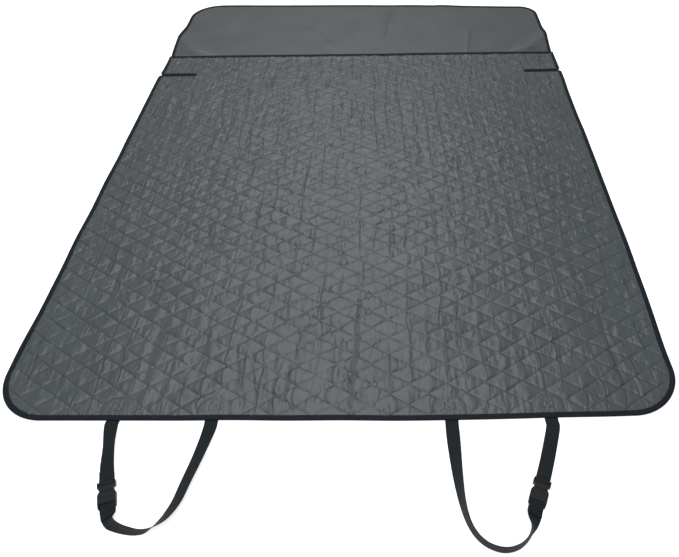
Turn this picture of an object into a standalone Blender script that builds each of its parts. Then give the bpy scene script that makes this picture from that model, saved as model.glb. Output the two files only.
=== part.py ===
"""Quilted cargo liner with a bumper flap and two buckled straps.

Metres, +Z up. +X runs across the liner, +Y from the strap end to the flap.
The origin is on the underside of the quilted panel, at its middle.
"""
import math
import random

import bmesh
import bpy
from mathutils import Vector

for old in list(bpy.data.objects):
    bpy.data.objects.remove(old, do_unlink=True)

# Gap between pieces that touch
FIT = 0.0003

# Quilted panel
PANEL_WIDTH = 1.320
PANEL_LENGTH = 1.430
NEAR_CORNER_RADIUS = 0.105
QUILT_THICKNESS = 0.0040
PUFF_LOW = 0.0016
PUFF_HIGH = 0.0030
DIAMOND_WIDTH = 0.0735
DIAMOND_LENGTH = 0.0458
GRID_SHIFT_X = 0.019
GRID_SHIFT_Y = 0.029
RIDGE_STRAY = 0.008
QUILT_SEED = 7

# Slits between the panel's body and its far strip, one from each side
SLIT_FROM_FAR_EDGE = 0.128
SLIT_DEPTH = 0.115
SLIT_GAP = 0.0016
SLIT_MOUTH_ROUNDING = 0.006
FAR_STRIP_SET_IN = 0.002

# Folded binding tape
TAPE_THICKNESS = 0.0005
BINDING_WIDTH = 0.011
SLIT_BINDING_WIDTH = 0.008
PANEL_BINDING_HEIGHT = 0.0040
BINDING_ROUNDING = 0.0009

# Bumper flap
FLAP_LENGTH = 0.400
FLAP_SET_IN = 0.004
FLAP_THICKNESS = 0.0012
FLAP_TUCK = 0.030
FLAP_LEFT_CORNER_RADIUS = 0.105
FLAP_RIGHT_CORNER_RADIUS = 0.062
FLAP_BINDING_WIDTH = 0.011
FLAP_HEM_THICKNESS = 0.0010

# Patches over the strap ends
PATCH_WIDTH = 0.060
PATCH_DEPTH = 0.050
PATCH_CORNER_RADIUS = 0.025
PATCH_THICKNESS = 0.0012
PATCH_SINK = 0.0004

# Webbing, and where each end is sewn to the near edge
WEBBING_WIDTH = 0.025
WEBBING_THICKNESS = 0.0014
WEBBING_LAP = 0.045
WEBBING_TAIL = 0.025
TAIL_DROP = 0.012
LEFT_SHORT_X = -0.4205
LEFT_LONG_X = -0.2385
RIGHT_LONG_X = 0.206
RIGHT_SHORT_X = 0.391

# Side-release buckle, 25 mm size. Stations run along it from the plug's bar
BAR_RADIUS = 0.0015
BAR_EMBED = 0.0008
BUCKLE_HEIGHT = 0.0086
BUCKLE_ROUNDING = 0.0007
RAIL_WIDTH = 0.0022
RAIL_TIP_WIDTH = 0.0015
RAIL_OVERHANG = 0.003
SLOT_ROOM = 0.0018
PLUG_BASE_LENGTH = 0.005
PLUG_BASE_CHAMFER = 0.002
WAIST_LENGTH = 0.006
SHOULDER_LENGTH = 0.005
MOUTH_WALL = 0.0012
SIDE_WALL = 0.0035
CAVITY_WALL = 0.0016
CAVITY_DEPTH = 0.0175
REAR_WALL = 0.004
WINDOW_START = 0.005
WINDOW_LENGTH = 0.0085
ARM_THICKNESS = 0.0026
ARM_TIP_THICKNESS = 0.001
ARM_CLEARANCE = 0.0014
BARB_SET_BACK = 0.0006
BARB_LENGTH = 0.0055
PRONG_END_ROOM = 0.002
TONGUE_HALF_WIDTH = 0.0020
BUCKLE_SIDES = 16

# Where each plug's bar lies, out from the near edge, and the buckle's turn from straight out
LEFT_BUCKLE_X = -0.3926
LEFT_BUCKLE_OUT = 0.123
LEFT_BUCKLE_TURN = math.radians(18.7)
RIGHT_BUCKLE_X = 0.3525
RIGHT_BUCKLE_OUT = 0.120
RIGHT_BUCKLE_TURN = math.radians(-22.3)

# Steps in an arc, and in one whose radius is under SMALL_ARC; steps from point to point of a route
ARC_STEPS = 10
SMALL_ARC_STEPS = 4
SMALL_ARC = 0.020
CURVE_STEPS = 3
TAIL_POINTS = 3
CUTTER_REACH = 0.010
OVERLAP = 0.001

# Worked out from the sizes above
near_y = -PANEL_LENGTH / 2
far_y = PANEL_LENGTH / 2
slit_y = far_y - SLIT_FROM_FAR_EDGE
far_half_width = PANEL_WIDTH / 2 - FAR_STRIP_SET_IN
flap_half_width = far_half_width - FLAP_SET_IN
rim_gap = TAPE_THICKNESS + FIT
hem_top = rim_gap + FLAP_HEM_THICKNESS
far_binding_bottom = FLAP_THICKNESS + FIT
layer_pitch = WEBBING_THICKNESS + FIT
bar_height = layer_pitch + BAR_RADIUS
wrap_radius = BAR_RADIUS + FIT + WEBBING_THICKNESS / 2
slot_half_width = WEBBING_WIDTH / 2 + FIT
buckle_half_width = slot_half_width + RAIL_WIDTH
slot_length = wrap_radius + WEBBING_THICKNESS / 2 + SLOT_ROOM
plug_base_end = slot_length + PLUG_BASE_LENGTH
cavity_half_width = buckle_half_width - SIDE_WALL
arm_outer = cavity_half_width - ARM_CLEARANCE
arm_inner = arm_outer - ARM_THICKNESS
socket_mouth = plug_base_end + WAIST_LENGTH
window_start = socket_mouth + WINDOW_START
window_end = window_start + WINDOW_LENGTH
slot_start = socket_mouth + CAVITY_DEPTH + REAR_WALL
socket_bar = slot_start + slot_length
socket_end = socket_bar + RAIL_OVERHANG


def material(name, colour, roughness):
    """A Principled material in the piece's own colour."""
    made = bpy.data.materials.new(name)
    made.use_nodes = True
    shader = made.node_tree.nodes["Principled BSDF"]
    shader.inputs["Base Color"].default_value = (*colour, 1.0)
    shader.inputs["Roughness"].default_value = roughness
    shader.inputs["Metallic"].default_value = 0.0
    return made


QUILT_GREY = (0.115, 0.132, 0.136)
FLAP_GREY = (0.123, 0.138, 0.144)
BINDING_BLACK = (0.017, 0.021, 0.026)
WEBBING_BLACK = (0.025, 0.031, 0.036)
BUCKLE_BLACK = (0.023, 0.026, 0.034)


def add_object(name, bm, colour=None, roughness=0.9, smooth_angle=None):
    """Close up a bmesh and put it in the scene."""
    bmesh.ops.remove_doubles(bm, verts=bm.verts[:], dist=1e-6)
    bmesh.ops.recalc_face_normals(bm, faces=bm.faces[:])
    mesh = bpy.data.meshes.new(name)
    bm.to_mesh(mesh)
    bm.free()
    made = bpy.data.objects.new(name, mesh)
    bpy.context.collection.objects.link(made)
    if colour:
        mesh.materials.append(material(name + "_finish", colour, roughness))
    if smooth_angle:
        mesh.shade_smooth()
        mesh.set_sharp_from_angle(angle=smooth_angle)
    return made


def prism_mesh(outline, bottom, top):
    """An outline of (x, y) points, raised from bottom to top."""
    bm = bmesh.new()
    low = [bm.verts.new((x, y, bottom)) for x, y in outline]
    high = [bm.verts.new((x, y, top)) for x, y in outline]
    bm.faces.new(low[::-1])
    bm.faces.new(high)
    for i in range(len(outline)):
        j = (i + 1) % len(outline)
        bm.faces.new((low[i], low[j], high[j], high[i]))
    return bm


def box_outline(x0, x1, y0, y1):
    return [(x0, y0), (x1, y0), (x1, y1), (x0, y1)]


def boolean(target, tool, operation):
    """Cut or join target with tool, which is kept as a hidden guide."""
    tool.hide_render = True
    tool.display_type = "WIRE"
    cut = target.modifiers.new(tool.name, "BOOLEAN")
    cut.operation = operation
    cut.solver = "EXACT"
    cut.object = tool


# A rail is a list of stations (x, y, outward x, outward y, tape width) along a bound edge.

def arc(centre, radius, start, end, widths, hollow=False):
    """Stations round a corner. A hollow arc has the cloth outside it."""
    stations = []
    steps = SMALL_ARC_STEPS if radius < SMALL_ARC else ARC_STEPS
    for i in range(steps + 1):
        share = i / steps
        angle = math.radians(start + (end - start) * share)
        nx, ny = math.cos(angle), math.sin(angle)
        reach = -radius if hollow else radius
        width = widths[0] + (widths[1] - widths[0]) * share
        stations.append((centre[0] + nx * reach, centre[1] + ny * reach, nx, ny, width))
    return stations


def panel_rail():
    """The left side, near edge and right side of the panel, in and out of both slits."""
    wide, slim = BINDING_WIDTH, SLIT_BINDING_WIDTH
    mouth = slim + SLIT_MOUTH_ROUNDING
    half, lip = PANEL_WIDTH / 2, SLIT_GAP / 2
    tip = half - SLIT_DEPTH
    corner_x = half - NEAR_CORNER_RADIUS
    corner_y = near_y + NEAR_CORNER_RADIUS
    upper, lower = slit_y + lip + mouth, slit_y - lip - mouth
    rail = [(-far_half_width, far_y, -1.0, 0.0, wide)]
    rail += arc((-far_half_width + mouth, upper), mouth, 180, 270, (wide, slim))
    rail += arc((-tip, slit_y), lip, 270, 90, (slim, slim), hollow=True)
    rail += arc((-half + mouth, lower), mouth, 90, 180, (slim, wide))
    rail += arc((-corner_x, corner_y), NEAR_CORNER_RADIUS, 180, 270, (wide, wide))
    rail += arc((corner_x, corner_y), NEAR_CORNER_RADIUS, 270, 360, (wide, wide))
    rail += arc((half - mouth, lower), mouth, 0, 90, (wide, slim))
    rail += arc((tip, slit_y), lip, 90, -90, (slim, slim), hollow=True)
    rail += arc((far_half_width - mouth, upper), mouth, -90, 0, (slim, wide))
    rail.append((far_half_width, far_y, 1.0, 0.0, wide))
    return rail


def flap_rail():
    """The left side, far edge and right side of the flap."""
    wide, start = FLAP_BINDING_WIDTH, far_y + FIT
    left, right = FLAP_LEFT_CORNER_RADIUS, FLAP_RIGHT_CORNER_RADIUS
    end = far_y + FLAP_LENGTH
    rail = [(-flap_half_width, start, -1.0, 0.0, wide)]
    rail += arc((-flap_half_width + left, end - left), left, 180, 90, (wide, wide))
    rail += arc((flap_half_width - right, end - right), right, 90, 0, (wide, wide))
    rail.append((flap_half_width, start, 1.0, 0.0, wide))
    return rail


def inset(rail, share, more):
    """The rail moved into the cloth by a share of the tape's width and a bit more."""
    return [
        (x - nx * (width * share + more), y - ny * (width * share + more))
        for x, y, nx, ny, width in rail
    ]


def sweep(name, rail, section, colour):
    """Run a closed section of (share of the tape's width, further in, z) along a rail."""
    bm = bmesh.new()
    rows = [
        [bm.verts.new((x, y, z)) for x, y in inset(rail, share, more)]
        for share, more, z in section
    ]
    for k in range(len(rows)):
        here, there = rows[k], rows[(k + 1) % len(rows)]
        for i in range(len(rail) - 1):
            bm.faces.new((here[i], here[i + 1], there[i + 1], there[i]))
    bm.faces.new([row[0] for row in rows])
    bm.faces.new([row[-1] for row in rows])
    return add_object(name, bm, colour, 0.85, smooth_angle=math.radians(40))


def tape_section(bottom, height):
    """Tape folded over an edge: two legs and a rounded fold, open to the inside."""
    top, wall, soft = bottom + height, TAPE_THICKNESS, BINDING_ROUNDING
    rounded = [
        (0, soft * (1 - math.sin(a)), soft * (1 - math.cos(a)))
        for a in (0, math.pi / 4, math.pi / 2)
    ]
    outside = [(s, inward, bottom + rise) for s, inward, rise in rounded]
    outside += [(s, inward, top - rise) for s, inward, rise in reversed(rounded)]
    inside = [
        (1, 0, top), (1, 0, top - wall), (0, wall, top - wall),
        (0, wall, bottom + wall), (1, 0, bottom + wall), (1, 0, bottom),
    ]
    return outside + inside


def quilted_slab():
    """Diamonds of the stitch grid, each a low puff with its ridge along Y."""
    rng = random.Random(QUILT_SEED)
    step_x, step_y = DIAMOND_WIDTH / 2, DIAMOND_LENGTH / 2
    count_x = math.ceil((PANEL_WIDTH / 2 + GRID_SHIFT_X) / step_x) + 1
    count_y = math.ceil((PANEL_LENGTH / 2 + GRID_SHIFT_Y) / step_y) + 1
    bm = bmesh.new()
    corners = {}

    def corner(i, j):
        if (i, j) not in corners:
            place = (i * step_x + GRID_SHIFT_X, j * step_y + GRID_SHIFT_Y, QUILT_THICKNESS)
            corners[i, j] = bm.verts.new(place)
        return corners[i, j]

    for i in range(-count_x, count_x + 1):
        for j in range(-count_y, count_y + 1):
            stray = rng.uniform(-RIDGE_STRAY, RIDGE_STRAY)
            puff = rng.uniform(PUFF_LOW, PUFF_HIGH)
            if (i + j) % 2 == 0:
                continue
            middle = bm.verts.new((
                i * step_x + GRID_SHIFT_X + stray,
                j * step_y + GRID_SHIFT_Y,
                QUILT_THICKNESS + puff,
            ))
            ring = [corner(i + 1, j), corner(i, j + 1), corner(i - 1, j), corner(i, j - 1)]
            for k in range(4):
                bm.faces.new((ring[k], ring[(k + 1) % 4], middle))
    rim = [edge for edge in bm.edges if edge.is_boundary]
    grown = bmesh.ops.extrude_edge_only(bm, edges=rim)["geom"]
    for part in grown:
        if isinstance(part, bmesh.types.BMVert):
            part.co.z = 0.0
    floor_rim = [part for part in grown if isinstance(part, bmesh.types.BMEdge) and part.is_boundary]
    bmesh.ops.holes_fill(bm, edges=floor_rim, sides=0)
    return add_object("quilted_panel", bm, QUILT_GREY)


def closed_panel_outline(share, more, far_line):
    """The panel's outline moved in, closed along a straight far line."""
    points = inset(panel_rail(), share, more)
    return [(points[0][0], far_line)] + points[1:-1] + [(points[-1][0], far_line)]


strap_ends = {
    "left_outer": LEFT_SHORT_X,
    "left_inner": LEFT_LONG_X,
    "right_inner": RIGHT_LONG_X,
    "right_outer": RIGHT_SHORT_X,
}
core_near_y = near_y + BINDING_WIDTH + FIT
core_far_y = far_y - BINDING_WIDTH - FIT
far_binding_half = far_half_width - BINDING_WIDTH - FIT
flap_under_half = flap_half_width - FLAP_BINDING_WIDTH - FIT
patch_seat = QUILT_THICKNESS - PATCH_SINK


def webbing_pocket(x):
    """Room under the near edge for one sewn webbing end."""
    outline = box_outline(x - slot_half_width, x + slot_half_width,
                          near_y - CUTTER_REACH, near_y + WEBBING_LAP + FIT)
    return add_object("webbing_pocket", prism_mesh(outline, -CUTTER_REACH, layer_pitch))


def patch_outline(x, grow):
    """A D: its straight side on the binding, its round side towards the flap."""
    half = PATCH_WIDTH / 2 + grow
    radius = min(PATCH_CORNER_RADIUS, PATCH_WIDTH / 2 - OVERLAP) + grow
    foot = core_near_y + FIT - grow
    head = near_y + PATCH_DEPTH + grow
    points = [(x - half, foot), (x + half, foot)]
    for centre_x, start in ((x + half - radius, 0), (x - half + radius, 90)):
        for i in range(ARC_STEPS + 1):
            angle = math.radians(start + 90 * i / ARC_STEPS)
            points.append((centre_x + radius * math.cos(angle),
                           head - radius + radius * math.sin(angle)))
    return points


def make_panel():
    """The quilted panel: the puffs stop at the tape, and a thin rim runs into it."""
    panel = quilted_slab()
    core = closed_panel_outline(1, FIT, core_far_y)
    keep = add_object("panel_keep", prism_mesh(core, -CUTTER_REACH, CUTTER_REACH))
    boolean(panel, keep, "INTERSECT")
    rim = closed_panel_outline(0, rim_gap, core_far_y - OVERLAP)
    rim_body = add_object("panel_rim", prism_mesh(rim, rim_gap, PANEL_BINDING_HEIGHT - rim_gap))
    boolean(panel, rim_body, "UNION")
    half = far_binding_half - FIT
    far_rim = box_outline(-half, half, core_far_y - OVERLAP, far_y - rim_gap)
    far_body = prism_mesh(far_rim, far_binding_bottom + rim_gap,
                          far_binding_bottom + PANEL_BINDING_HEIGHT - rim_gap)
    boolean(panel, add_object("panel_far_rim", far_body), "UNION")
    half = flap_under_half + FIT
    tuck = box_outline(-half, half, far_y - FLAP_TUCK - FIT, far_y + CUTTER_REACH)
    flap_room = add_object("flap_pocket", prism_mesh(tuck, -CUTTER_REACH, far_binding_bottom))
    boolean(panel, flap_room, "DIFFERENCE")
    for x in strap_ends.values():
        boolean(panel, webbing_pocket(x), "DIFFERENCE")
        outline = [(px, near_y if py < core_near_y + FIT else py) for px, py in patch_outline(x, FIT)]
        room = prism_mesh(outline, patch_seat - FIT, CUTTER_REACH)
        boolean(panel, add_object("patch_pocket", room), "DIFFERENCE")


def make_patches():
    """A cloth patch over each sewn strap end, let into the quilting."""
    for name, x in strap_ends.items():
        body = prism_mesh(patch_outline(x, 0), patch_seat, patch_seat + PATCH_THICKNESS)
        add_object(name + "_patch", body, QUILT_GREY)


def make_bindings():
    """Tape round the panel's sides and near edge, along its far edge and round the flap."""
    edge = sweep("panel_binding", panel_rail(), tape_section(0, PANEL_BINDING_HEIGHT), BINDING_BLACK)
    for x in strap_ends.values():
        boolean(edge, webbing_pocket(x), "DIFFERENCE")
    straight = [(side * far_binding_half, far_y, 0.0, 1.0, BINDING_WIDTH) for side in (-1, 1)]
    sweep("far_edge_binding", straight,
          tape_section(far_binding_bottom, PANEL_BINDING_HEIGHT), BINDING_BLACK)
    sweep("flap_binding", flap_rail(), tape_section(0, hem_top + rim_gap), BINDING_BLACK)


def make_flap():
    """The plain cloth flap, tucked under the panel's far edge, with a hem inside its tape."""
    rail = flap_rail()
    points = inset(rail, 1, FIT)
    under = far_y - FLAP_TUCK
    outline = [(points[0][0], under)] + points[1:-1] + [(points[-1][0], under)]
    flap = add_object("bumper_flap", prism_mesh(outline, 0, FLAP_THICKNESS), FLAP_GREY)
    hem_section = [
        (0, rim_gap, rim_gap), (0, rim_gap, hem_top),
        (1, FIT + OVERLAP, hem_top), (1, FIT + OVERLAP, rim_gap),
    ]
    boolean(flap, sweep("flap_hem", rail, hem_section, None), "UNION")


def smooth_route(points):
    """A Catmull-Rom curve through the points, which may have any number of values each."""
    route = []
    last = len(points) - 1
    for k in range(last):
        a, b, c, d = (points[max(0, min(last, k + n))] for n in (-1, 0, 1, 2))
        for step in range(CURVE_STEPS):
            t = step / CURVE_STEPS
            route.append(tuple(
                0.5 * (2 * q + (r - p) * t + (2 * p - 5 * q + 4 * r - s) * t * t
                       + (3 * q - p - 3 * r + s) * t ** 3)
                for p, q, r, s in zip(a, b, c, d)
            ))
    route.append(tuple(points[-1]))
    return route


def ribbon(name, stations):
    """Webbing through stations of (centre, direction across)."""
    bm = bmesh.new()
    rings = []
    last = len(stations) - 1
    for k, (centre, across) in enumerate(stations):
        along = (stations[min(k + 1, last)][0] - stations[max(k - 1, 0)][0]).normalized()
        across = (across - along * across.dot(along)).normalized()
        up = along.cross(across)
        wide, thick = across * WEBBING_WIDTH / 2, up * WEBBING_THICKNESS / 2
        places = (centre - wide - thick, centre + wide - thick,
                  centre + wide + thick, centre - wide + thick)
        rings.append([bm.verts.new(place) for place in places])
    for here, there in zip(rings, rings[1:]):
        for i in range(4):
            j = (i + 1) % 4
            bm.faces.new((here[i], here[j], there[j], there[i]))
    bm.faces.new(rings[0])
    bm.faces.new(rings[-1])
    return add_object(name, bm, WEBBING_BLACK, 0.8, smooth_angle=math.radians(40))


def strap(name, sewn_x, bar, away, route, turn):
    """A leg from its fold round a buckle bar, along the route, to under the near edge.

    A point of the route is its share of the way across to the sewn end, its distance out
    as a share of the bar's, and its roll in degrees. turn is the side that rolls up.
    """
    bar_out = near_y - bar.y
    course = []
    for i in range(TAIL_POINTS + 1):
        reach = TAIL_DROP * i / TAIL_POINTS
        course.append((bar.x + away.x * reach, bar_out - away.y * reach, 0.0))
    course += [(bar.x + (sewn_x - bar.x) * over, bar_out * out, roll) for over, out, roll in route]
    end_roll = 180.0 * round(route[-1][2] / 180.0)
    course += [(sewn_x, out, end_roll)
               for out in (WEBBING_WIDTH / 2, 0.0, -WEBBING_LAP / 2, -WEBBING_LAP)]
    course = smooth_route(course)
    main = []
    for k, (x, out, roll) in enumerate(course):
        ahead, behind = course[min(k + 1, len(course) - 1)], course[max(k - 1, 0)]
        along = Vector((ahead[0] - behind[0], behind[1] - ahead[1], 0)).normalized()
        side = Vector((-along.y, along.x, 0)) * turn
        angle = math.radians(roll)
        across = side * math.cos(angle) + Vector((0, 0, 1)) * math.sin(angle)
        lean = abs(math.sin(angle))
        height = lean * (WEBBING_WIDTH / 2 + FIT) + abs(math.cos(angle)) * WEBBING_THICKNESS / 2
        main.append((Vector((x, near_y - out, height)), across, along.cross(across) * turn))
    wrap = []
    for i in range(1, ARC_STEPS + 1):
        angle = math.radians(-90 + 180 * i / ARC_STEPS)
        back = away * -wrap_radius * math.cos(angle)
        rise = Vector((0, 0, bar_height + wrap_radius * math.sin(angle)))
        wrap.append((bar + back + rise, main[0][1]))
    travelled = 0.0
    for k in range(1, len(main)):
        centre, across, up = main[k]
        travelled += (centre - main[k - 1][0]).length
        if travelled > WEBBING_TAIL:
            break
        drop = min(1.0, travelled / TAIL_DROP)
        ease = drop * drop * (3 - 2 * drop)
        spare = (bar_height + wrap_radius - WEBBING_THICKNESS / 2 - layer_pitch) * (1 - ease)
        wrap.append((centre + up * (layer_pitch + spare), across))
    return ribbon(name, wrap[::-1] + [(centre, across) for centre, across, up in main])


def place_buckle_piece(piece, bar, heading):
    piece.location = bar
    piece.rotation_euler = (0, 0, math.atan2(heading.y, heading.x))


def add_bevel(piece):
    soft = piece.modifiers.new("soft_edges", "BEVEL")
    soft.width = BUCKLE_ROUNDING
    soft.segments = 2
    soft.limit_method = "ANGLE"
    soft.angle_limit = math.radians(40)


def bar_object(station):
    """The round bar that the webbing folds over, across the buckle."""
    bm = bmesh.new()
    reach = slot_half_width + BAR_EMBED
    rings = []
    for y in (-reach, reach):
        ring = []
        for i in range(BUCKLE_SIDES):
            angle = 2 * math.pi * i / BUCKLE_SIDES
            ring.append(bm.verts.new((station + BAR_RADIUS * math.cos(angle), y,
                                      bar_height + BAR_RADIUS * math.sin(angle))))
        rings.append(ring)
    for i in range(BUCKLE_SIDES):
        j = (i + 1) % BUCKLE_SIDES
        bm.faces.new((rings[0][i], rings[0][j], rings[1][j], rings[1][i]))
    bm.faces.new(rings[0])
    bm.faces.new(rings[1])
    return add_object("buckle_bar", bm)


def mirrored(half):
    """A closed outline from its points on the +Y side."""
    return half + [(x, -y) for x, y in reversed(half)]


def make_plug(name, bar, heading):
    """Plug: a frame round the webbing slot, a neck, a centre tongue and two barbed arms."""
    neck_end = socket_mouth - FIT
    frame = mirrored([
        (neck_end, cavity_half_width), (plug_base_end, cavity_half_width),
        (plug_base_end - PLUG_BASE_CHAMFER, buckle_half_width), (0, buckle_half_width),
        (-RAIL_OVERHANG, slot_half_width + RAIL_TIP_WIDTH), (-RAIL_OVERHANG, slot_half_width),
        (slot_length, slot_half_width),
    ])
    plug = add_object(name, prism_mesh(frame, 0, BUCKLE_HEIGHT), BUCKLE_BLACK, 0.45,
                      smooth_angle=math.radians(40))
    add_bevel(plug)
    root, tip = neck_end - OVERLAP, socket_mouth + CAVITY_DEPTH - PRONG_END_ROOM
    barb, reach = window_start + FIT, buckle_half_width - BARB_SET_BACK
    prongs = mirrored([
        (tip, TONGUE_HALF_WIDTH), (root, TONGUE_HALF_WIDTH), (root, arm_inner),
        (tip, arm_inner), (tip, arm_inner + ARM_TIP_THICKNESS), (window_end - FIT, arm_outer),
        (barb + BARB_LENGTH, reach), (barb, reach), (barb, arm_outer),
        (slot_length + OVERLAP, arm_outer),
    ])
    low, high = CAVITY_WALL + FIT, BUCKLE_HEIGHT - CAVITY_WALL - FIT
    for tool in (bar_object(0), add_object("plug_prongs", prism_mesh(prongs, low, high))):
        place_buckle_piece(tool, bar, heading)
        boolean(plug, tool, "UNION")
    place_buckle_piece(plug, bar, heading)


def make_socket(name, bar, heading):
    """Socket: a sleeve with a side window for each barb, and a slot with a bar behind it."""
    shell = mirrored([
        (slot_start, slot_half_width), (socket_end, slot_half_width),
        (socket_end, slot_half_width + RAIL_TIP_WIDTH), (slot_start, buckle_half_width),
        (socket_mouth + SHOULDER_LENGTH, buckle_half_width),
        (socket_mouth, cavity_half_width + MOUTH_WALL),
    ])
    socket = add_object(name, prism_mesh(shell, 0, BUCKLE_HEIGHT), BUCKLE_BLACK, 0.45,
                        smooth_angle=math.radians(40))
    add_bevel(socket)
    low, high = CAVITY_WALL, BUCKLE_HEIGHT - CAVITY_WALL
    hollow = box_outline(socket_mouth - CUTTER_REACH, socket_mouth + CAVITY_DEPTH,
                         -cavity_half_width, cavity_half_width)
    past = buckle_half_width + CUTTER_REACH
    sides = box_outline(window_start, window_end, -past, past)
    tools = [
        (add_object("socket_cavity", prism_mesh(hollow, low, high)), "DIFFERENCE"),
        (add_object("socket_windows", prism_mesh(sides, low, high)), "DIFFERENCE"),
        (bar_object(socket_bar), "UNION"),
    ]
    for tool, operation in tools:
        place_buckle_piece(tool, bar, heading)
        boolean(socket, tool, operation)
    place_buckle_piece(socket, bar, heading)


def make_side(side, plug_x, plug_out, buckle_turn, short_x, long_x, short_route, long_route, turn):
    """One strap: a short leg to the plug, the buckle, and a long leg round to the near edge."""
    bar = Vector((plug_x, near_y - plug_out, 0))
    heading = Vector((math.sin(buckle_turn), -math.cos(buckle_turn), 0))
    make_plug(side + "_buckle_plug", bar, heading)
    make_socket(side + "_buckle_socket", bar, heading)
    strap(side + "_short_webbing", short_x, bar, -heading, short_route, turn)
    strap(side + "_long_webbing", long_x, bar + heading * socket_bar, heading, long_route, turn)


make_panel()
make_patches()
make_bindings()
make_flap()
make_side(
    "left", LEFT_BUCKLE_X, LEFT_BUCKLE_OUT, LEFT_BUCKLE_TURN, LEFT_SHORT_X, LEFT_LONG_X,
    [(0.385, 0.715, -10), (0.67, 0.407, -20)],
    [(0.085, 1.160, 35), (0.154, 1.212, 58), (0.271, 1.254, 72), (0.401, 1.278, 82),
     (0.513, 1.278, 97), (0.599, 1.244, 115), (0.683, 1.176, 132), (0.748, 1.091, 142),
     (0.815, 0.949, 149), (0.868, 0.735, 153), (0.933, 0.484, 158), (0.982, 0.233, 168)],
    1,
)
make_side(
    "right", RIGHT_BUCKLE_X, RIGHT_BUCKLE_OUT, RIGHT_BUCKLE_TURN, RIGHT_SHORT_X, RIGHT_LONG_X,
    [(0.38, 0.692, 0), (0.73, 0.375, 0)],
    [(0.086, 1.193, 40), (0.124, 1.292, 75), (0.197, 1.387, 86), (0.317, 1.462, 88),
     (0.485, 1.493, 90), (0.659, 1.456, 92), (0.795, 1.368, 90), (0.894, 1.224, 84),
     (0.955, 1.004, 72), (0.985, 0.710, 53), (0.996, 0.439, 35), (1.000, 0.238, 18)],
    -1,
)
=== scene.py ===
"""Looks of the quilted cargo liner: cloth, tape, webbing, buckles, floor, light and camera.

Metres, +Z up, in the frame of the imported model: +X across the liner, +Y from the strap end
to the flap, and the origin on the underside of the quilted panel, at its middle.
"""
import math

import bmesh
import bpy
import numpy as np
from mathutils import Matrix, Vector


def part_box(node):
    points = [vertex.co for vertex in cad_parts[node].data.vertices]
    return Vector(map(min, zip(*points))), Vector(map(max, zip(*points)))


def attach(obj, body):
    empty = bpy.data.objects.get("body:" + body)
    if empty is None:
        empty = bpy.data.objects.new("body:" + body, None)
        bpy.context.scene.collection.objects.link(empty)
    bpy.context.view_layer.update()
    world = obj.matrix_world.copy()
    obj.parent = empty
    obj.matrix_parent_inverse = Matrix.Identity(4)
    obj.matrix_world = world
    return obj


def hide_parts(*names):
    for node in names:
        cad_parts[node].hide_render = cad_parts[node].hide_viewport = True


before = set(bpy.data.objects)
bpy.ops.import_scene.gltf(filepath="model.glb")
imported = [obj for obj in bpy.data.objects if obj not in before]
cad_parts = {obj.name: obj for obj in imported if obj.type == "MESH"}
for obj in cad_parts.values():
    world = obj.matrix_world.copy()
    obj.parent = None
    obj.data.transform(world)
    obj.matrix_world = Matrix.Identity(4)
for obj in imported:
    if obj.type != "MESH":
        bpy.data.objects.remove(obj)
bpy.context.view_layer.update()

# QUILTED PANEL
# Two layers of coated woven polyester with thin wadding between them, held by crossing rows
# of lockstitch that make long diamonds. The stitching gathers the face cloth across the
# liner, so each diamond has a ridge and small folds that run along it.

MM = 0.001
# The slits in the sides, beyond which the panel is a little narrower
SLIT_TO_FAR_EDGE, SLIT_LENGTH, SIDE_STEP = 128 * MM, 115 * MM, 2 * MM
panel_low, panel_high = (Vector(corner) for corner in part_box("panel_binding"))
half_width, near_y, far_y = panel_high.x, panel_low.y, panel_high.y
flap_low, flap_high = (Vector(corner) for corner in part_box("flap_binding"))
far_half_width = half_width - SIDE_STEP
NEAR_CORNER_RADIUS = 105 * MM
SLIT_LIP = 0.8 * MM
SLIT_MOUTH_RADIUS = 14 * MM
slit_y = far_y - SLIT_TO_FAR_EDGE
slit_tip = half_width - SLIT_LENGTH
PATCH_CORNER_RADIUS = 25 * MM
patch_boxes = {end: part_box(end + "_patch")
               for end in ("left_outer", "left_inner", "right_inner", "right_outer")}

DIAMOND_WIDTH, DIAMOND_LENGTH = 73.5 * MM, 45.8 * MM
# Grid lines across a diamond, closer together at the rows
GRID_SHARES = (0, 0.045, 0.13, 0.27, 0.42, 0.58, 0.73, 0.87, 0.955)
# How far the rows have moved off an even lattice: in the middle, less to both sides, more at
# the far end, and along the liner
DRIFT, DRIFT_BEND, FAR_DRIFT, DRIFT_ALONG = 18.5 * MM, 50 * MM, 14 * MM, 19 * MM
# Heights of the cloth: on the liner, at its edge, the rise over the flap, and the backing
SEAT, EDGE_SEAT, OVER_FLAP, BACKING_GAP = 2.7 * MM, 2.3 * MM, 1.2 * MM, 0.5 * MM
# The face ends this far in, under the tape. The probe is the step for a slope
RIM_DEPTH, PROBE = 2 * MM, 0.05 * MM
# Least and most rise of a diamond, its folds and ripples, how far the rows wander, and how far
# a ridge strays to the side, as a share of half a diamond
PUFF = (1.1 * MM, 2.4 * MM)
FOLD, RIPPLE, WOBBLE = 0.95 * MM, 1.2 * MM, 1.4 * MM
RIDGE_STRAY = 0.24
# How the liner lies: in and up at its right near corner, askew along the far seam, bowed at
# the flap's end, wandering a little both ways and in low waves
PULL_IN, PULL_UP, ASKEW, BOW = 10 * MM, 11 * MM, 18 * MM, 12 * MM
WANDER_X, WANDER_Y, WAVE_HEIGHT = 2.5 * MM, 1.2 * MM, 2.0 * MM
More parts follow.
